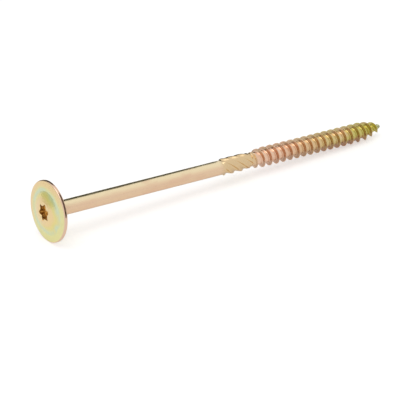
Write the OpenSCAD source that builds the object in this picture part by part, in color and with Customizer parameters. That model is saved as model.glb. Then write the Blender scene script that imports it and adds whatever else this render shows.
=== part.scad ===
// Washer-head construction screw for timber, lying at rest.
// Millimetres, +Z up, floor at z = 0. The screw runs along +X, from the head to the point.
// It rests on the head's rim and on the last full thread crests, so its axis dips a little.
// The origin lies on the floor, below the middle of the screw's length.

/* [Part] */
// Solid to draw

/* [Head] */
// Diameter of the washer head
head_d = 23.6; // [20:0.1:26]
// Thickness of the washer's rim
rim_t = 1.4; // [1:0.05:2]
// Radius of the rim's two edges
rim_edge = 0.4; // [0.1:0.05:0.45]
// Radius of the ring where the washer's slope turns into the crown
crown_r = 8.2; // [6.5:0.1:9]
// Rise from the rim to that ring
ring_rise = 0.62; // [0.2:0.02:1]
// Rise from the rim to the flat land around the recess
crown_rise = 1.7; // [1.2:0.05:2.4]
// Width of the flat land around the recess
land_w = 0.35; // [0.1:0.05:0.8]
// Radius of the neck where it leaves the washer's underside
neck_r = 5.4; // [4.8:0.1:6]
// Length of the neck below the washer
neck_h = 3.2; // [2.4:0.1:5]

/* [Six-lobe recess] */
// Diameter across the lobes
lobe_d = 6.75; // [6:0.05:7.2]
// Diameter across the flutes
flute_d = 4.85; // [4.5:0.05:5.1]
// Radius of a lobe
lobe_r = 0.55; // [0.5:0.01:0.6]
// Depth of the straight wall
recess_depth = 3.2; // [2:0.1:3.5]
// Depth of the cone under it
recess_cone = 0.7; // [0.3:0.1:1]
// Turn of the lobes about the axis
recess_turn = 12; // [0:1:59]

/* [Shank] */
// Length from the washer's underside to the very point
length = 160; // [140:1:200]
// Diameter of the plain shank
shank_d = 5.8; // [5.4:0.1:6.2]

/* [Milling ribs] */
// Length of the milling section
mill_len = 14.6; // [10:0.1:20]
// Diameter over the ribs
rib_d = 6.75; // [6.5:0.05:7.2]
// Diameter at the bottom of the grooves
groove_d = 5.3; // [4.9:0.05:5.4]
// Length over which one rib makes a full turn
rib_lead = 26; // [20:0.5:40]
// Number of ribs
rib_count = 6; // [5:1:6]

/* [Thread] */
// Length of the thread, point included
thread_len = 67.6; // [50:0.1:80]
// Outside diameter of the thread
thread_d = 8; // [7.4:0.1:8.6]
// Diameter of the core
core_d = 5.1; // [4.6:0.1:5.3]
// Advance of one turn
pitch = 3.49; // [3:0.01:4.5]
// Share of the pitch taken by the foot of the ridge
foot_share = 0.52; // [0.3:0.01:0.7]
// Share of the pitch taken by the crest
crest_share = 0.1; // [0.05:0.01:0.2]
// Bare length between the ribs and the first turn
gap_len = 0.9; // [0.5:0.05:2]
// Length over which the ridge grows to full height
run_in = 8; // [4:0.5:12]
// Turn of the ribs and the thread about the axis
thread_turn = 110; // [0:1:359]

/* [Point] */
// Length of the tapered core
point_len = 10; // [8:0.5:14]
// Length over which the last turns close up
close_len = 6; // [4:0.5:8]
// Length over which the crests close in
crest_len = 7.8; // [6:0.1:8]
// Diameter of the blunt end
point_d = 0.3; // [0.2:0.05:0.6]
// Length of the cutting notch
notch_len = 16; // [10:0.5:22]
// Distance from the axis to the notch's corner at the point
notch_off = 0.1; // [0:0.05:0.4]
// Direction in which the notch opens, about the axis
notch_turn = 205; // [180:1:215]

/* [Hidden] */
$fn = 96;
steel = [0.80, 0.68, 0.42];
segs = 5 * rib_count;
head_r = head_d / 2;
land_r = lobe_d / 2 + land_w;
land_x = -rim_t - crown_rise;
mill_x = length - thread_len - mill_len;
thread_x = length - thread_len;

// Profile of the ridge across one pitch: position and share of the height.
rows = [
  [0, 0],
  [0.5 - foot_share / 2, 0.04],
  [0.5 - foot_share / 4, 0.42],
  [0.5 - crest_share / 2, 1],
  [0.5 + crest_share / 2, 1],
  [0.5 + foot_share / 4, 0.42],
  [0.5 + foot_share / 2, 0.04]
];
row_count = len(rows);

// Profile of one rib around the axis: share of its spacing and of its height.
rib_rows = [
  [0, 1],
  [0.16, 0.92],
  [0.36, 0.12],
  [0.62, 0],
  [0.86, 0.3]
];

function clamp01(v) = max(0, min(1, v));
function ease(v) = clamp01(v) * clamp01(v) * (3 - 2 * clamp01(v));

// Radii of the core and of the crests at a station of the axis.
function core_r(x) = let (d = clamp01((length - x) / point_len))
  point_d / 2 + (core_d - point_d) / 2 * pow(d, 0.85);
function closing_r(x) = let (d = clamp01((length - x) / crest_len))
  point_d / 2 + 0.3 * clamp01(d * 6) + (thread_d / 2 - point_d / 2 - 0.3) * d;
function crest_r(x) = let (grow = 0.3 + 0.7 * ease((x - thread_x) / run_in))
  min(core_r(x) + (thread_d - core_d) / 2 * grow, closing_r(x));
function skin_r(x, share) = core_r(x) + (crest_r(x) - core_r(x)) * share;

// Rings of the milling section: the ribs rise quickly and run out at their far end.
mill_steps = 14;
mill_start_r = shank_d / 2 - 0.12;
function rib_rise(t) = ease(t * 5) * (1 - 0.85 * ease((t - 0.86) / 0.14));
function base_r(t) = mill_start_r + (groove_d / 2 - mill_start_r) * ease(t * 4)
  + (core_d / 2 - groove_d / 2) * ease((t - 0.9) / 0.1);
function mill_point(i, j) = let (
    t = i / mill_steps,
    rib = floor(j / 5),
    row = rib_rows[j % 5],
    turn = 360 * (rib + row[0]) / rib_count + 360 * t * mill_len / rib_lead,
    r = base_r(t) + (rib_d / 2 - groove_d / 2) * row[1] * rib_rise(t)
  ) [mill_x + t * mill_len, r * cos(turn), r * sin(turn)];
mill_points = [for (i = [0 : mill_steps]) for (j = [0 : segs - 1]) mill_point(i, j)];

// Points along the helix: row 0 runs one turn further than the others and closes the last pitch.
// The last turns close up a little, so that the thread reaches the point.
first_x = thread_x + gap_len;
turns = round((length - 1.2 - first_x) / pitch);
steps = turns * segs;
start_turn = 360 * mill_len / rib_lead;
close_x = length - close_len;
close_share = (length - 0.1 - close_x) / (first_x + pitch * (turns + 1) - close_x);
function closed_up(x) = x < close_x ? x : close_x + (x - close_x) * close_share;
function helix_point(q, p) = let (
    x = closed_up(first_x + pitch * (q / segs + rows[p][0])),
    r = skin_r(x, rows[p][1]),
    turn = start_turn + 360 * q / segs
  ) [x, r * cos(turn), r * sin(turn)];
helix_points = concat(
  [for (q = [0 : steps + segs]) helix_point(q, 0)],
  [for (p = [1 : row_count - 1]) for (q = [0 : steps]) helix_point(q, p)]
);
end_points = [for (j = [0 : segs - 1]) let (turn = start_turn + 360 * j / segs)
  [length, point_d / 2 * cos(turn), point_d / 2 * sin(turn)]];
screw_points = concat(mill_points, helix_points, end_points);

// Index of a point in that list.
function mill_at(i, j) = i * segs + (j % segs);
function helix_at(q, p) = len(mill_points) + (p == 0 ? q
  : p == row_count ? q + segs
  : steps + segs + 1 + (p - 1) * (steps + 1) + q);
function end_at(j) = len(mill_points) + len(helix_points) + (j % segs);
function quad(a, b, c, d) = [[a, b, c], [a, c, d]];

mill_faces = [for (i = [0 : mill_steps - 1]) for (j = [0 : segs - 1])
  each quad(mill_at(i, j), mill_at(i + 1, j), mill_at(i + 1, j + 1), mill_at(i, j + 1))];
joining_faces = concat(
  [for (j = [0 : segs - 2])
    each quad(mill_at(mill_steps, j), helix_at(j, 0), helix_at(j + 1, 0), mill_at(mill_steps, j + 1))],
  quad(mill_at(mill_steps, segs - 1), helix_at(segs - 1, 0), helix_at(0, 0), mill_at(mill_steps, 0)),
  [for (p = [0 : row_count - 1]) [helix_at(segs - 1, 0), helix_at(0, p + 1), helix_at(0, p)]]
);
thread_faces = [for (q = [0 : steps - 1]) for (p = [0 : row_count - 1])
  each quad(helix_at(q, p), helix_at(q, p + 1), helix_at(q + 1, p + 1), helix_at(q + 1, p))];
tip_faces = concat(
  [for (p = [0 : row_count - 1])
    [helix_at(steps + 1, 0), helix_at(steps, p), helix_at(steps, p + 1)]],
  quad(helix_at(steps + 1, 0), helix_at(steps, row_count), end_at(0), end_at(1)),
  [for (j = [1 : segs - 1])
    each quad(helix_at(steps + j, 0), end_at(j), end_at(j + 1), helix_at(steps + j + 1, 0))]
);
cap_faces = [
  [for (j = [0 : segs - 1]) mill_at(0, j)],
  [for (j = [segs - 1 : -1 : 0]) end_at(j)]
];
screw_faces = concat(mill_faces, joining_faces, thread_faces, tip_faces, cap_faces);

// Rest pose: the rim's rear edge and the last full crest below the axis touch the floor.
crest_phase = first_x + pitch * (0.5 + (270 - thread_turn - start_turn) / 360);
rest_x = crest_phase + pitch * floor((length - crest_len - crest_phase) / pitch);
edge_gap = head_r - rim_edge - thread_d / 2;
reach = rest_x + rim_edge;
dip = atan2(edge_gap, reach) + asin(rim_edge / norm([edge_gap, reach]));
axis_z = (head_r - rim_edge) * cos(dip) + rim_edge - rim_edge * sin(dip);
low_x = land_x * cos(dip) - land_r * sin(dip);
high_x = length * cos(dip) + point_d / 2 * sin(dip);
mid_x = (low_x + high_x) / 2;

// Outline of the head and the shank, as axis position and radius.
edge_steps = 6;
function edge_arc(cx, a0) = [for (i = [0 : edge_steps]) let (a = a0 + 90 * i / edge_steps)
  [head_r - rim_edge + rim_edge * sin(a), cx - rim_edge * cos(a)]];
dome_steps = 10;
function blend(a, b, t) = a + (b - a) * t;
function dome_point(t) = let (
    r = blend(land_r, crown_r, t),
    fall = blend(crown_rise, ring_rise, 0.4 * t + 0.6 * t * t)
  ) [r, -rim_t - fall];
slope_steps = 5;
function slope_point(t) = let (
    r = blend(crown_r, head_r - rim_edge, t),
    fall = ring_rise * (1 - 0.75 * t - 0.25 * t * t)
  ) [r, -rim_t - fall];
neck_steps = 8;
function neck_point(t) = [
    shank_d / 2 + (neck_r - shank_d / 2) * (1 - sin(90 * t)),
    neck_h * (1 - cos(90 * t))
  ];
head_outline = concat(
  [[0, mill_x + 0.3], [0, land_x]],
  [for (i = [0 : dome_steps]) dome_point(i / dome_steps)],
  [for (i = [1 : slope_steps - 1]) slope_point(i / slope_steps)],
  edge_arc(-rim_t + rim_edge, 0),
  edge_arc(-rim_edge, 90),
  [for (i = [0 : neck_steps]) neck_point(i / neck_steps)],
  [[shank_d / 2, mill_x], [shank_d / 2 - 0.3, mill_x + 0.3]]
);

// Six-lobe outline from tangent arcs; the flute's radius follows from the other three sizes.
lobe_c = lobe_d / 2 - lobe_r;
flute_h = flute_d / 2;
flute_r = (lobe_c * lobe_c + flute_h * flute_h - 2 * lobe_c * flute_h * cos(30) - lobe_r * lobe_r)
  / (2 * lobe_r - 2 * flute_h + 2 * lobe_c * cos(30));
flute_c = flute_h + flute_r;
function polar(r, a) = [r * cos(a), r * sin(a)];
function meet(a, side) = let (
    c = polar(lobe_c, a),
    f = polar(flute_c, a + side * 30)
  ) c + (f - c) * lobe_r / (lobe_r + flute_r);
lobe_polygon = [for (i = [0 : 5]) each [meet(60 * i, -1), meet(60 * i, 1)]];

module lobe_outline() {
  difference() {
    union() {
      polygon(lobe_polygon);
      for (i = [0 : 5]) {
        rotate(60 * i) translate([lobe_c, 0]) circle(r = lobe_r, $fn = 32);
      }
    }
    for (i = [0 : 5]) {
      rotate(60 * i + 30) translate([flute_c, 0]) circle(r = flute_r, $fn = 64);
    }
  }
}

module recess() {
  translate([land_x - 1, 0, 0]) rotate([recess_turn, 0, 0]) rotate([0, 90, 0]) {
    linear_extrude(height = 1 + recess_depth) lobe_outline();
    translate([0, 0, 1 + recess_depth - 0.01])
      cylinder(h = recess_cone, r1 = flute_h - 0.05, r2 = 0.4);
  }
}

module head_and_shank() {
  rotate([0, 90, 0]) rotate_extrude() polygon(head_outline);
}

module thread_body() {
  rotate([thread_turn, 0, 0])
    polyhedron(points = screw_points, faces = screw_faces, convexity = 10);
}

module notch() {
  rotate([notch_turn, 0, 0])
    translate([length + 1, notch_off, 0])
      rotate([0, 0, -asin((thread_d / 2 - notch_off) / notch_len)])
        rotate([-45, 0, 0])
          translate([-notch_len - 3, 0, 0]) cube([notch_len + 8, 12, 12]);
}

module screw() {
  color(steel)
    translate([-mid_x, 0, axis_z])
      rotate([0, dip, 0])
        difference() {
          union() {
            head_and_shank();
            thread_body();
          }
          recess();
          notch();
        }
}

screw();
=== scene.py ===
from math import asin, atan2, cos, hypot, pi, radians, sin, sqrt

import bpy
import bmesh
from mathutils import Matrix, Vector


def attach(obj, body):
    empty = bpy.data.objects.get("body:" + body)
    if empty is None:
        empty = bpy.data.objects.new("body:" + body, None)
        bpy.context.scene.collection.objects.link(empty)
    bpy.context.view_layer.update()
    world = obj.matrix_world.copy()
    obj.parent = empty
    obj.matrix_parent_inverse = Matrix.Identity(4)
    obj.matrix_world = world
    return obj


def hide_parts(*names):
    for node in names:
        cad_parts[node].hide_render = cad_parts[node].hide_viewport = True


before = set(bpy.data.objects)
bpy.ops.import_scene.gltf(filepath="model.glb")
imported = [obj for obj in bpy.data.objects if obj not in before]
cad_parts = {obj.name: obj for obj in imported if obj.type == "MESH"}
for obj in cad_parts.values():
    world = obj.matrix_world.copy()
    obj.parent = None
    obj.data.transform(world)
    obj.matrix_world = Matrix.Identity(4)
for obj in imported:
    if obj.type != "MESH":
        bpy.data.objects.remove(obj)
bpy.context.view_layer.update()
mm = 0.001
print("frame loaded")


class Wire:  # one output socket; arithmetic on it adds Math nodes
    def __init__(self, tree, socket):
        self.tree = tree
        self.socket = socket

    def math(self, operation, *values):
        return node(self.tree, "ShaderNodeMath", {"operation": operation}, dict(enumerate(values)))

    def __add__(self, other):
        return self.math("ADD", self, other)

    def __sub__(self, other):
        return self.math("SUBTRACT", self, other)

    def __rsub__(self, other):
        return self.math("SUBTRACT", other, self)

    def __mul__(self, other):
        return self.math("MULTIPLY", self, other)

    def __truediv__(self, other):
        return self.math("DIVIDE", self, other)

    def __pow__(self, other):
        return self.math("POWER", self, other)

    __radd__ = __add__
    __rmul__ = __mul__

    def frac(self):
        return self.math("FRACT", self)

    def floor(self):
        return self.math("FLOOR", self)

    def sine(self):
        return self.math("SINE", self)

    def cosine(self):
        return self.math("COSINE", self)

    def low(self, other):
        return self.math("MINIMUM", self, other)

    def high(self, other):
        return self.math("MAXIMUM", self, other)

    def ramp(self, start, end):  # 0 at start, 1 at end, eased
        return node(self.tree, "ShaderNodeMapRange", {"interpolation_type": "SMOOTHSTEP"},
                    {"Value": self, "From Min": start, "From Max": end})

    def line(self, start, end):  # 0 at start, 1 at end, straight and clamped
        return node(self.tree, "ShaderNodeMapRange", {}, {"Value": self, "From Min": start, "From Max": end})


def node(tree, kind, settings=None, values=None, out=0):
    made = tree.nodes.new(kind)
    for name, value in (settings or {}).items():
        if name == "points":
            curve = made.mapping.curves[0]
            while len(curve.points) < len(value):
                curve.points.new(0.5, 0.5)
            for point, place in zip(curve.points, value):
                point.location = place
            made.mapping.update()
        else:
            setattr(made, name, value)
    for name, value in (values or {}).items():
        socket = made.inputs[name]
        if isinstance(value, Wire):
            tree.links.new(value.socket, socket)
        else:
            socket.default_value = value
    return Wire(tree, made.outputs[out])


def linear(r, g, b):  # from the 0-255 values of a screen colour
    return tuple(((c / 255 + 0.055) / 1.055) ** 2.4 for c in (r, g, b))


# sizes of the screw, in millimetres along its own axis; x = 0 is the washer's underside
head = {
    "radius": 11.8, "rim": 1.4, "edge": 0.4, "crownRadius": 8.0, "ringRise": 0.42, "crownRise": 1.7,
    "land": 0.35, "neckRadius": 5.4, "neckLength": 3.2,
}
recess = {
    "lobe": 3.375, "flute": 2.425, "lobeRadius": 0.55, "depth": 3.2, "cone": 0.7, "turn": 12, "chamfer": 0.26,
}
shank = {"length": 160, "radius": 2.9, "segments": 120, "rows": 40}
ribs = {
    "length": 14.6, "radius": 3.375, "groove": 2.65, "start": 2.78, "lead": 26, "count": 6, "steps": 80,
    # shares of the length: where the ribs have risen, sink a little, and end in the thread's core
    "risen": 0.08, "grooveFrom": 0.1, "sunk": 0.35, "sinkFrom": 0.75, "sinkTo": 0.9, "endFrom": 0.93,
    "coreFrom": 0.8, "coreTo": 0.92,
}
thread = {
    "length": 67.6, "radius": 4.0, "core": 2.6, "pitch": 3.49, "foot": 0.31, "crest": 0.05, "hollow": 1.2,
    "firstShare": 0.6, "runIn": 6.5, "rise": 0.8, "gap": 0.9, "turn": 110, "rows": 22, "crestRows": 0.55,
}
point = {
    "core": 10, "coreCurve": 0.75, "close": 6, "crests": 7.1, "crestCurve": 0.8, "radius": 0.15,
    "blunt": 0.6, "bluntShare": 12, "lastTurn": 1.2,
    "notch": 20, "notchDepth": 4.3, "notchTurn": 256, "notchAngle": 60,
}

threadX = shank["length"] - thread["length"]
millX = threadX - ribs["length"]
startTurn = ribs["length"] / ribs["lead"]

# rest pose: the rim's rear edge and the last full crest below the axis touch the floor
firstX = threadX + thread["gap"]
crestPhase = firstX + thread["pitch"] * (0.5 + (270 - thread["turn"]) / 360 - startTurn)
restX = crestPhase + thread["pitch"] * ((shank["length"] - point["crests"] - crestPhase) // thread["pitch"])
edgeGap = head["radius"] - head["edge"] - thread["radius"]
reach = restX + head["edge"]
dip = atan2(edgeGap, reach) + asin(head["edge"] / hypot(edgeGap, reach))
axisZ = (head["radius"] - head["edge"]) * cos(dip) + head["edge"] - head["edge"] * sin(dip)
landX = -head["rim"] - head["crownRise"]
landRadius = recess["lobe"] + head["land"]
lowX = landX * cos(dip) - landRadius * sin(dip)
highX = shank["length"] * cos(dip) + point["radius"] * sin(dip)
midX = (lowX + highX) / 2
lay = Matrix.Translation((-midX * mm, 0, axisZ * mm)) @ Matrix.Rotation(dip, 4, "Y") @ Matrix.Scale(mm, 4)


def sizedTree(name, sizes, whole):  # a Geometry Nodes tree with one named input for each size
    tree = bpy.data.node_groups.new(name, "GeometryNodeTree")
    tree.interface.new_socket("Geometry", in_out="OUTPUT", socket_type="NodeSocketGeometry")
    inputs = {}
    for key in sizes:
        kind = "NodeSocketInt" if key in whole else "NodeSocketFloat"
        inputs[key] = tree.interface.new_socket(key, in_out="INPUT", socket_type=kind)
    group = tree.nodes.new("NodeGroupInput")
    return tree, inputs, {key: Wire(tree, group.outputs[key]) for key in sizes}


def gridShares(tree, across, along):  # a unit grid and its two running shares
    grid = node(tree, "GeometryNodeMeshGrid", {}, {"Size X": 1.0, "Size Y": 1.0,
                                                   "Vertices X": across + 1, "Vertices Y": along + 1})
    place = node(tree, "GeometryNodeInputPosition")
    u = node(tree, "ShaderNodeSeparateXYZ", {}, {0: place}, 0) + 0.5
    v = node(tree, "ShaderNodeSeparateXYZ", {}, {0: place}, 1) + 0.5
    return grid, u, v


def wrap(tree, grid, x, radius, turn):  # lays the grid round the axis and ends the tree
    spot = node(tree, "ShaderNodeCombineXYZ", {},
                {"X": x, "Y": radius * turn.cosine(), "Z": radius * turn.sine()})
    laid = node(tree, "GeometryNodeSetPosition", {}, {"Geometry": grid, "Position": spot})
    welded = node(tree, "GeometryNodeMergeByDistance", {}, {"Geometry": laid, "Distance": 0.0012})
    real = node(tree, "GeometryNodeRealizeInstances", {}, {"Geometry": welded})
    painted = node(tree, "GeometryNodeSetMaterial", {}, {"Geometry": real, "Material": zinc})
    output = tree.nodes.new("NodeGroupOutput")
    tree.links.new(painted.socket, output.inputs[0])


ribProfile = ((0, 1), (0.1, 0.9), (0.32, 0.5), (0.56, 0.1), (0.72, 0.0), (0.86, 0.3), (1, 1))


def ribTree(sizes):
    tree, inputs, s = sizedTree("MillingRibs", sizes, ("Segments", "Steps"))
    grid, u, v = gridShares(tree, s["Segments"], s["Steps"])
    height = node(tree, "ShaderNodeFloatCurve", {"points": ribProfile}, {"Value": (u * s["Rib Count"]).frac()})
    sunk = ribs["sunk"] * v.ramp(ribs["sinkFrom"], ribs["sinkTo"])
    rise = v.ramp(0.0, ribs["risen"]) * (1 - sunk) * (1 - v.ramp(ribs["endFrom"], 1.0))
    base = s["Start Radius"] + (s["Groove Radius"] - s["Start Radius"]) * v.ramp(0.0, ribs["grooveFrom"])
    base = base + (s["Core Radius"] - s["Groove Radius"]) * v.ramp(ribs["coreFrom"], ribs["coreTo"])
    radius = base + (s["Rib Radius"] - s["Groove Radius"]) * height * rise
    turn = (u + v * s["Length"] / s["Lead"]) * (2 * pi)
    wrap(tree, grid, s["Start"] + v * s["Length"], radius, turn)
    return tree, inputs


def threadTree(sizes):
    tree, inputs, s = sizedTree("WoodThread", sizes, ("Segments", "Rows"))
    grid, u, v = gridShares(tree, s["Segments"], s["Rows"])
    turnsIn = v * s["Rows"] / s["Rows per Turn"]
    share = turnsIn.frac()
    share = share + (share * (2 * pi)).sine() * (thread["crestRows"] / (2 * pi))  # more rows at the crest
    free = s["First Root"] + s["Pitch"] * (turnsIn.floor() + share - 2 + u)
    closeX = s["Tip"] - s["Close Length"]
    closed = closeX + (free - closeX) * s["Close Share"]
    nearEnd = free.math("GREATER_THAN", free, closeX)
    x = (free + (closed - free) * nearEnd).high(s["Start"]).low(s["Tip"])
    away = share.math("ABSOLUTE", share - 0.5)
    ridge = away.line(s["Foot Share"] * 0.5, s["Crest Share"] * 0.5) ** thread["hollow"]
    left = s["Tip"] - x
    coreShare = (left / s["Point Length"]).low(1.0) ** point["coreCurve"]
    core = s["Point Radius"] + (s["Core Radius"] - s["Point Radius"]) * coreShare
    crestShare = (left / s["Crest Length"]).low(1.0)
    closing = s["Point Radius"] + s["Blunt Radius"] * (crestShare * point["bluntShare"]).low(1.0)
    fullRise = s["Crest Radius"] - s["Point Radius"] - s["Blunt Radius"]
    closing = closing + fullRise * crestShare ** point["crestCurve"]
    grow = s["First Share"] + (1 - s["First Share"]) * (x - s["Start"]).ramp(0.0, s["Run In"])
    crest = (core + (s["Crest Radius"] - s["Core Radius"]) * grow).low(closing)
    radius = core + (crest - core) * ridge * (x - s["Start"]).ramp(0.0, thread["rise"])
    wrap(tree, grid, x, radius, (u + s["Start Turn"]) * (2 * pi))
    return tree, inputs


def grown(name, build, sizes):  # runs one tree and returns its plain mesh
    tree, inputs = build(sizes)
    holder = bpy.data.objects.new(name, bpy.data.meshes.new(name + "Base"))
    bpy.context.scene.collection.objects.link(holder)
    modifier = holder.modifiers.new(name, "NODES")
    modifier.node_group = tree
    for key, value in sizes.items():
        modifier[inputs[key].identifier] = value
    holder.update_tag()
    graph = bpy.context.evaluated_depsgraph_get()
    result = bpy.data.meshes.new_from_object(holder.evaluated_get(graph))
    bpy.data.objects.remove(holder)
    result.transform(Matrix.Rotation(radians(thread["turn"]), 4, "X"))
    return result


# yellow zinc: straw where it is thick, rose and copper where it is thin, green where it is oldest; some entries are
# painted light and shade: a paler cream top on the shank, a darker plum underside and tan flanks on the thread, and
# a brown recess
zincLook = {
    "creamTopHighlight": linear(250, 232, 192), "peach": linear(240, 208, 174), "rose": linear(234, 192, 162),
    "apricot": linear(250, 222, 170), "yellow": linear(242, 228, 156), "mint": linear(222, 232, 198),
    "lime": linear(238, 236, 174), "edge": linear(238, 204, 178), "sand": linear(230, 202, 158),
    "blush": linear(246, 212, 186), "copper": linear(234, 188, 156), "plumShade": linear(200, 150, 128),
    "moss": linear(206, 200, 112), "tanFlankShade": linear(192, 156, 132), "brownRecessShade": linear(120, 84, 52),
    "slate": linear(140, 152, 146), "roughness": 0.22,
}
headSpot = Vector((-midX * mm, 0, axisZ * mm))
alongAxis = Vector((cos(dip), 0, -sin(dip)))
upAxis = Vector((sin(dip), 0, cos(dip)))


def blendColour(tree, share, a, b):
    return node(tree, "ShaderNodeMix", {"data_type": "RGBA"},
                {0: share, 6: a if isinstance(a, Wire) else (*a, 1), 7: b if isinstance(b, Wire) else (*b, 1)}, 2)


def zincFinish(look):
    material = bpy.data.materials.new("yellowZincSteel")
    material.use_nodes = True
    tree = material.node_tree
    tree.nodes.clear()
    spot = node(tree, "ShaderNodeTexCoord", out=3)
    fromHead = node(tree, "ShaderNodeVectorMath", {"operation": "SUBTRACT"}, {0: spot, 1: headSpot})

    def measured(direction):
        return node(tree, "ShaderNodeVectorMath", {"operation": "DOT_PRODUCT"}, {0: fromHead, 1: direction}, 1) / mm

    along, up, side = measured(alongAxis), measured(upAxis), measured(Vector((0, -1, 0)))
    foot = node(tree, "ShaderNodeVectorMath", {"operation": "CROSS_PRODUCT"}, {0: fromHead, 1: alongAxis})
    radius = node(tree, "ShaderNodeVectorMath", {"operation": "LENGTH"}, {0: foot}, 1) / mm

    def noise(scale, stretch, detail, shift):
        where = node(tree, "ShaderNodeMapping", {},
                     {"Vector": spot, "Location": (shift, shift * 0.7, 0), "Scale": (stretch, 1, 1)})
        return node(tree, "ShaderNodeTexNoise", {}, {"Vector": where, "Scale": scale, "Detail": detail})

    clouds = noise(110, 0.4, 2.0, 0.0)
    patches = noise(260, 0.45, 2.0, 0.31)
    fine = noise(1500, 0.12, 4.0, 0.11)
    speckle = noise(2600, 1.0, 2.0, 0.53)

    # painted highlight: the shank is a paler cream along its top and peach below
    shankColour = blendColour(tree, up.ramp(1.0, 2.6), look["peach"], look["creamTopHighlight"])
    shankColour = blendColour(tree, patches.ramp(0.5, 0.72) * 0.4, shankColour, look["rose"])

    # the washer's rings of colour, a little uneven
    drift = radius + (clouds - 0.5) * 3.0 + (patches - 0.5) * 1.2
    headColour = blendColour(tree, drift.ramp(4.6, 6.4), look["apricot"], look["yellow"])
    worn = 0.45 + 0.55 * patches.ramp(0.38, 0.6)
    headColour = blendColour(tree, drift.ramp(6.2, 8.2) * worn, headColour, look["mint"])
    headColour = blendColour(tree, drift.ramp(8.4, 9.6), headColour, look["lime"])
    outer = drift.ramp(8.8, 10.4) * (0.15 + 0.85 * (up - side * 0.6).ramp(-5.0, 5.0))
    headColour = blendColour(tree, outer, headColour, look["apricot"])
    headColour = blendColour(tree, radius.ramp(11.4, 11.6), headColour, look["edge"])

    # painted shade: the thread's underside turns a darker plum, more so towards the point
    undersideShade = 1 - (up + (patches - 0.5) * 5).ramp(-2.8, 0.6)
    tint = along.ramp(100, 146) * clouds.ramp(0.3, 0.6)
    # painted shade: the thread's flanks, between root and crest, are darkened towards tan
    flankShade = radius.ramp(2.75, 2.95) * (1 - radius.ramp(3.6, 3.85))
    threadColour = blendColour(tree, patches.ramp(0.4, 0.66) * 0.7, look["blush"], look["copper"])
    threadColour = blendColour(tree, tint * 0.9, threadColour, look["moss"])
    threadColour = blendColour(tree, undersideShade * along.line(92, 140) * 0.8, threadColour, look["plumShade"])
    threadColour = blendColour(tree, flankShade * 0.5, threadColour, look["tanFlankShade"])
    threadColour = blendColour(tree, along.ramp(156.5, 159.5) * 0.6, threadColour, look["slate"])

    colour = blendColour(tree, 1 - along.ramp(0.6, 2.4), shankColour, headColour)
    colour = blendColour(tree, along.ramp(76, 79), colour, look["sand"])
    colour = blendColour(tree, along.ramp(92, 95), colour, threadColour)
    # painted shade: the upper walls of the six-lobe recess are darkened to brown
    recessShade = (1 - radius.ramp(3.15, 3.45)) * (1 - along.ramp(-1.6, -0.9)) * along.line(-2.95, -2.3)
    colour = blendColour(tree, recessShade * 0.7, colour, look["brownRecessShade"])
    inThread = along.ramp(93, 97)
    rough = look["roughness"] + (fine - 0.5) * 0.14 + inThread * 0.04
    dents = node(tree, "ShaderNodeBump", {}, {"Strength": 0.05, "Distance": 0.0002, "Height": speckle})
    lines = node(tree, "ShaderNodeBump", {}, {"Strength": 0.1, "Distance": 0.0003, "Height": fine, "Normal": dents})
    shader = node(tree, "ShaderNodeBsdfPrincipled", {},
                  {"Base Color": colour, "Metallic": 1.0, "Roughness": rough, "Normal": lines})
    output = tree.nodes.new("ShaderNodeOutputMaterial")
    tree.links.new(shader.socket, output.inputs["Surface"])
    return material


zinc = zincFinish(zincLook)
print("finish made")


def lobeRadius(angle):  # the six-lobe outline, from tangent arcs
    r, h = recess["lobeRadius"], recess["flute"]
    lobeC = recess["lobe"] - r
    flute = (lobeC ** 2 + h ** 2 - 2 * lobeC * h * cos(pi / 6) - r * r) / (2 * r - 2 * h + 2 * lobeC * cos(pi / 6))
    fluteC = h + flute
    share = r / (r + flute)
    meetX = lobeC + (fluteC * cos(pi / 6) - lobeC) * share
    meetY = fluteC * sin(pi / 6) * share
    a = angle % (pi / 3)
    a = min(a, pi / 3 - a)
    if a <= atan2(meetY, meetX):
        return lobeC * cos(a) + sqrt(max(0, r * r - (lobeC * sin(a)) ** 2))
    b = pi / 6 - a
    return fluteC * cos(b) - sqrt(max(0, flute ** 2 - (fluteC * sin(b)) ** 2))


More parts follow.
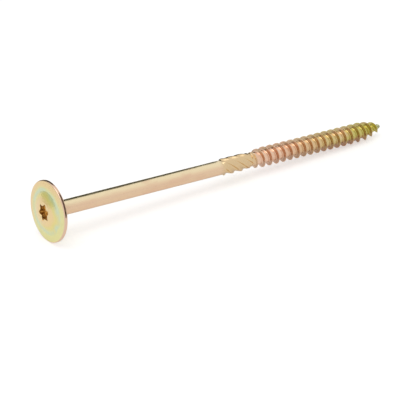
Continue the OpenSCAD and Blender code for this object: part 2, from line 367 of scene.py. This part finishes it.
def headRings(angles):  # stations from the recess's floor, over the washer, to the start of the ribs
    lobes = [lobeRadius(a - radians(recess["turn"] - 90)) for a in angles]
    rings = []

    def lobed(x, shrink, share=0.0):  # share of the way from the lobes to the edge of the land
        rings.append((x, [r - shrink + (landRadius - r + shrink) * share for r in lobes]))

    def plain(x, r):
        rings.append((x, [r] * len(angles)))

    floorX = landX + recess["depth"]
    chamfer = recess["chamfer"]
    plain(floorX + recess["cone"], 0.35)
    plain(floorX + 0.08, 2.15)
    lobed(floorX, 0.12)
    for k in range(5):
        lobed(floorX - 0.12 - (recess["depth"] - 0.12 - chamfer) * k / 5, 0.0)
    lobed(landX + chamfer, 0.0)
    lobed(landX + chamfer * 0.35, -chamfer * 0.35)
    lobed(landX, -chamfer)
    lobed(landX, -chamfer, 0.55)
    for k in range(13):
        t = k / 12
        fall = head["crownRise"] + (head["ringRise"] - head["crownRise"]) * (0.8 * t + 0.2 * t * t)
        plain(-head["rim"] - fall, landRadius + (head["crownRadius"] - landRadius) * t)
    inner = head["radius"] - head["edge"]
    for k in range(1, 9):
        t = k / 9
        fall = head["ringRise"] * (1 - 0.75 * t - 0.25 * t * t)
        plain(-head["rim"] - fall, head["crownRadius"] + (inner - head["crownRadius"]) * t)
    for centre, start in ((-head["rim"] + head["edge"], 0), (-head["edge"], 90)):
        for k in range(9):
            a = radians(start + 90 * k / 8)
            plain(centre - head["edge"] * cos(a), inner + head["edge"] * sin(a))
    for r in (10.6, 9.2, 7.6, 6.2):
        plain(0, r)
    for k in range(13):
        t = radians(90 * k / 12)
        plain(head["neckLength"] * (1 - cos(t)),
              shank["radius"] + (head["neckRadius"] - shank["radius"]) * (1 - sin(t)))
    for k in range(1, shank["rows"]):
        plain(head["neckLength"] + (millX - head["neckLength"]) * k / shank["rows"], shank["radius"])
    plain(millX - 0.1, shank["radius"])
    plain(millX - 0.03, shank["radius"] - 0.04)
    plain(millX, ribs["start"])
    return rings


def headMesh():
    count = shank["segments"]
    angles = [radians(thread["turn"]) + 2 * pi * j / count for j in range(count)]
    rings = headRings(angles)
    made = bmesh.new()
    middle = made.verts.new((rings[0][0] + 0.06, 0, 0))
    rows = []
    for x, radii in rings:
        rows.append([made.verts.new((x, r * cos(a), r * sin(a))) for r, a in zip(radii, angles)])
    for j in range(count):
        k = (j + 1) % count
        made.faces.new((middle, rows[0][k], rows[0][j]))
        for near, far in zip(rows, rows[1:]):
            made.faces.new((near[j], near[k], far[k], far[j]))
    mesh = bpy.data.meshes.new("headMesh")
    made.to_mesh(mesh)
    made.free()
    return mesh


def notchCutter():  # a long wedge whose lower edge rises from the point to the crests
    slope = atan2(point["notchDepth"], point["notch"])
    place = (Matrix.Rotation(radians(point["notchTurn"]), 4, "X")
             @ Matrix.Translation((shank["length"] + 1, thread["radius"] - point["notchDepth"], 0))
             @ Matrix.Rotation(-slope, 4, "Z"))
    half = radians(point["notchAngle"])
    wide = 14
    profile = ((0, 0), (wide * cos(half), wide * sin(half)), (wide * cos(half), -wide * sin(half)))
    made = bmesh.new()
    near, far = ([made.verts.new(place @ Vector((x, y, z))) for y, z in profile] for x in (-point["notch"] - 5, 6))
    made.faces.new(near)
    made.faces.new(far[::-1])
    for j in range(3):
        k = (j + 1) % 3
        made.faces.new((near[k], near[j], far[j], far[k]))
    bmesh.ops.recalc_face_normals(made, faces=made.faces[:])
    mesh = bpy.data.meshes.new("notchCutter")
    made.to_mesh(mesh)
    made.free()
    cutter = bpy.data.objects.new("notchCutter", mesh)
    bpy.context.scene.collection.objects.link(cutter)
    return cutter


def buildScrew():
    ribMesh = grown("millingRibs", ribTree, {
        "Segments": shank["segments"], "Steps": ribs["steps"], "Start": millX, "Length": ribs["length"],
        "Start Radius": ribs["start"], "Groove Radius": ribs["groove"], "Rib Radius": ribs["radius"],
        "Core Radius": thread["core"], "Lead": ribs["lead"], "Rib Count": ribs["count"],
    })
    closeX = shank["length"] - point["close"]
    turns = int((shank["length"] - point["lastTurn"] - firstX) / thread["pitch"])
    threadMesh = grown("woodThread", threadTree, {
        "Segments": shank["segments"], "Rows": thread["rows"] * (turns + 4), "Rows per Turn": thread["rows"],
        "Pitch": thread["pitch"], "First Root": firstX, "Start": threadX, "Tip": shank["length"],
        "Core Radius": thread["core"], "Crest Radius": thread["radius"], "Foot Share": thread["foot"],
        "Crest Share": thread["crest"], "First Share": thread["firstShare"], "Run In": thread["runIn"],
        "Point Length": point["core"], "Crest Length": point["crests"], "Point Radius": point["radius"],
        "Close Length": point["close"], "Start Turn": startTurn, "Blunt Radius": point["blunt"],
        "Close Share": (shank["length"] - 0.1 - closeX) / (firstX + thread["pitch"] * (turns + 1) - closeX),
    })
    print("ribs and thread grown:", len(ribMesh.polygons), len(threadMesh.polygons))
    made = bmesh.new()
    for mesh in (headMesh(), ribMesh, threadMesh):
        made.from_mesh(mesh)
    bmesh.ops.remove_doubles(made, verts=made.verts[:], dist=0.002)
    bmesh.ops.dissolve_degenerate(made, edges=made.edges[:], dist=0.0005)
    bmesh.ops.holes_fill(made, edges=[e for e in made.edges if e.is_boundary], sides=0)  # the blunt end
    bmesh.ops.recalc_face_normals(made, faces=made.faces[:])
    mesh = bpy.data.meshes.new("screw")
    made.to_mesh(mesh)
    made.free()
    whole = bpy.data.objects.new("screwBody", mesh)
    bpy.context.scene.collection.objects.link(whole)
    cutter = notchCutter()
    cut = whole.modifiers.new("notch", "BOOLEAN")
    cut.operation = "DIFFERENCE"
    cut.solver = "EXACT"
    cut.object = cutter
    graph = bpy.context.evaluated_depsgraph_get()
    final = bpy.data.meshes.new_from_object(whole.evaluated_get(graph))
    whole.modifiers.clear()
    whole.data = final
    bpy.data.objects.remove(cutter)
    final.transform(lay)
    final.materials.clear()
    final.materials.append(zinc)
    for face in final.polygons:
        face.use_smooth = True
        face.material_index = 0
    final.set_sharp_from_angle(angle=radians(32))
    return whole


screw = buildScrew()
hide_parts("screw")
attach(screw, "root")
print("screw made:", len(screw.data.polygons), "faces")

# lamps and levels; a flag is a card that only reflections see, by its bearing from the part, in metres
studio = {
    "floor": 0.9, "floorSeen": 0.48, "floorMirrored": 0.24, "worldDiffuse": 0.62, "worldGlossy": 1.07,
    "key": 2.2, "keySize": 0.9, "keyPlace": (-0.25, -0.1, 1.0),
}
flags = {
    "farFlag": {"bearing": 53, "away": 0.55, "left": 1.2, "right": -0.01, "lean": 0.14, "tall": 0.62,
                "colour": (0.045, 0.05, 0.03)},
    "headFlag": {"bearing": 140, "away": 0.15, "left": 0.07, "right": 0.07, "lean": 0, "tall": 0.055,
                 "colour": (0.6, 0.62, 0.46)},
}
# this one is in millimetres and degrees about the axis
rimFlag = {"radius": 25, "start": 2, "end": 14, "low": 0, "high": 70, "colour": (0.1, 0.08, 0.06)}


def emissive(name, colour):
    material = bpy.data.materials.new(name)
    material.use_nodes = True
    tree = material.node_tree
    tree.nodes.clear()
    shine = node(tree, "ShaderNodeEmission", {}, {"Color": (*colour, 1), "Strength": 1.0})
    output = tree.nodes.new("ShaderNodeOutputMaterial")
    tree.links.new(shine.socket, output.inputs["Surface"])
    return material


def stagePlane(name, corners, material):
    mesh = bpy.data.meshes.new(name)
    mesh.from_pydata(corners, [], [tuple(range(len(corners)))])
    mesh.materials.append(material)
    made = bpy.data.objects.new(name, mesh)
    bpy.context.scene.collection.objects.link(made)
    return made


def flag(name, corners, colour):
    card = stagePlane(name, corners, emissive(name + "Cloth", colour))
    card.visible_camera = False
    card.visible_diffuse = False
    card.visible_shadow = False


def standingFlag(name, sizes, centre):
    turn = radians(sizes["bearing"])
    middle = Vector(centre) + Vector((cos(turn), sin(turn), 0)) * sizes["away"]
    side = Vector((sin(turn), -cos(turn), 0))  # to the right, seen from the part
    outline = ((-sizes["left"], 0), (sizes["right"], 0), (sizes["right"] + sizes["lean"], sizes["tall"]),
               (-sizes["left"], sizes["tall"]))
    flag(name, [(*(middle + side * s).xy, z) for s, z in outline], sizes["colour"])


def bentFlag(name, sizes, folds=5):  # strips of card bent round the rim, on the side of the camera
    step = (sizes["high"] - sizes["low"]) / folds
    for k in range(folds):
        near, far = (radians(sizes["low"] + step * j) for j in (k, k + 1))
        start, end = sizes["start"], sizes["end"]
        corners = [lay @ Vector((x, -sizes["radius"] * cos(a), sizes["radius"] * sin(a)))
                   for x, a in ((start, near), (end, near), (end, far), (start, far))]
        flag(name + str(k), corners, sizes["colour"])


def floorFinish():
    material = bpy.data.materials.new("paleFloor")
    material.use_nodes = True
    tree = material.node_tree
    tree.nodes.clear()
    level = studio["floor"]
    matt = node(tree, "ShaderNodeBsdfDiffuse", {}, {"Color": (level, level, level, 1)})
    seen = node(tree, "ShaderNodeLightPath", out=0) * studio["floorSeen"]
    mirrored = node(tree, "ShaderNodeLightPath", out=3) * studio["floorMirrored"]
    lift = node(tree, "ShaderNodeEmission", {}, {"Strength": seen.high(mirrored)})
    both = node(tree, "ShaderNodeAddShader", {}, {0: matt, 1: lift})
    output = tree.nodes.new("ShaderNodeOutputMaterial")
    tree.links.new(both.socket, output.inputs["Surface"])
    return material


def buildStudio():
    stagePlane("floor", [(-6, -6, 0), (6, -6, 0), (6, 6, 0), (-6, 6, 0)], floorFinish())
    world = bpy.data.worlds.new("paleRoom")
    bpy.context.scene.world = world
    world.use_nodes = True
    tree = world.node_tree
    tree.nodes.clear()
    camera = node(tree, "ShaderNodeLightPath", out=0)
    glossy = node(tree, "ShaderNodeLightPath", out=3)
    strength = camera.high(glossy * studio["worldGlossy"]) + (1 - camera.high(glossy)) * studio["worldDiffuse"]
    sky = node(tree, "ShaderNodeBackground", {}, {"Strength": strength})
    output = tree.nodes.new("ShaderNodeOutputWorld")
    tree.links.new(sky.socket, output.inputs["Surface"])
    lamp = bpy.data.lights.new("softKey", "AREA")
    lamp.shape = "DISK"
    lamp.size = studio["keySize"]
    lamp.energy = studio["key"]
    key = bpy.data.objects.new("softKey", lamp)
    key.location = studio["keyPlace"]
    key.rotation_euler = (-key.location).to_track_quat("-Z", "Y").to_euler()
    bpy.context.scene.collection.objects.link(key)
    for name, sizes in flags.items():
        standingFlag(name, sizes, headSpot if name == "headFlag" else (0, 0, 0))
    bentFlag("rimFlag", rimFlag)


buildStudio()

view = {"azimuth": 36.42, "elevation": 25.90, "distance": 0.75, "aim": (-0.02403, -0.01879, 0.00790), "lens": 180}
turn, tilt = radians(view["azimuth"]), radians(view["elevation"])
ahead = Vector((cos(tilt) * sin(turn), cos(tilt) * cos(turn), -sin(tilt)))
camera = bpy.data.cameras.new("camera")
camera.lens = view["lens"]
camera.sensor_width = 36
cameraObject = bpy.data.objects.new("camera", camera)
bpy.context.scene.collection.objects.link(cameraObject)
cameraObject.location = Vector(view["aim"]) - ahead * view["distance"]
cameraObject.rotation_euler = ahead.to_track_quat("-Z", "Y").to_euler()
bpy.context.scene.camera = cameraObject
bpy.context.scene.view_settings.view_transform = "Standard"
print("studio and camera set")
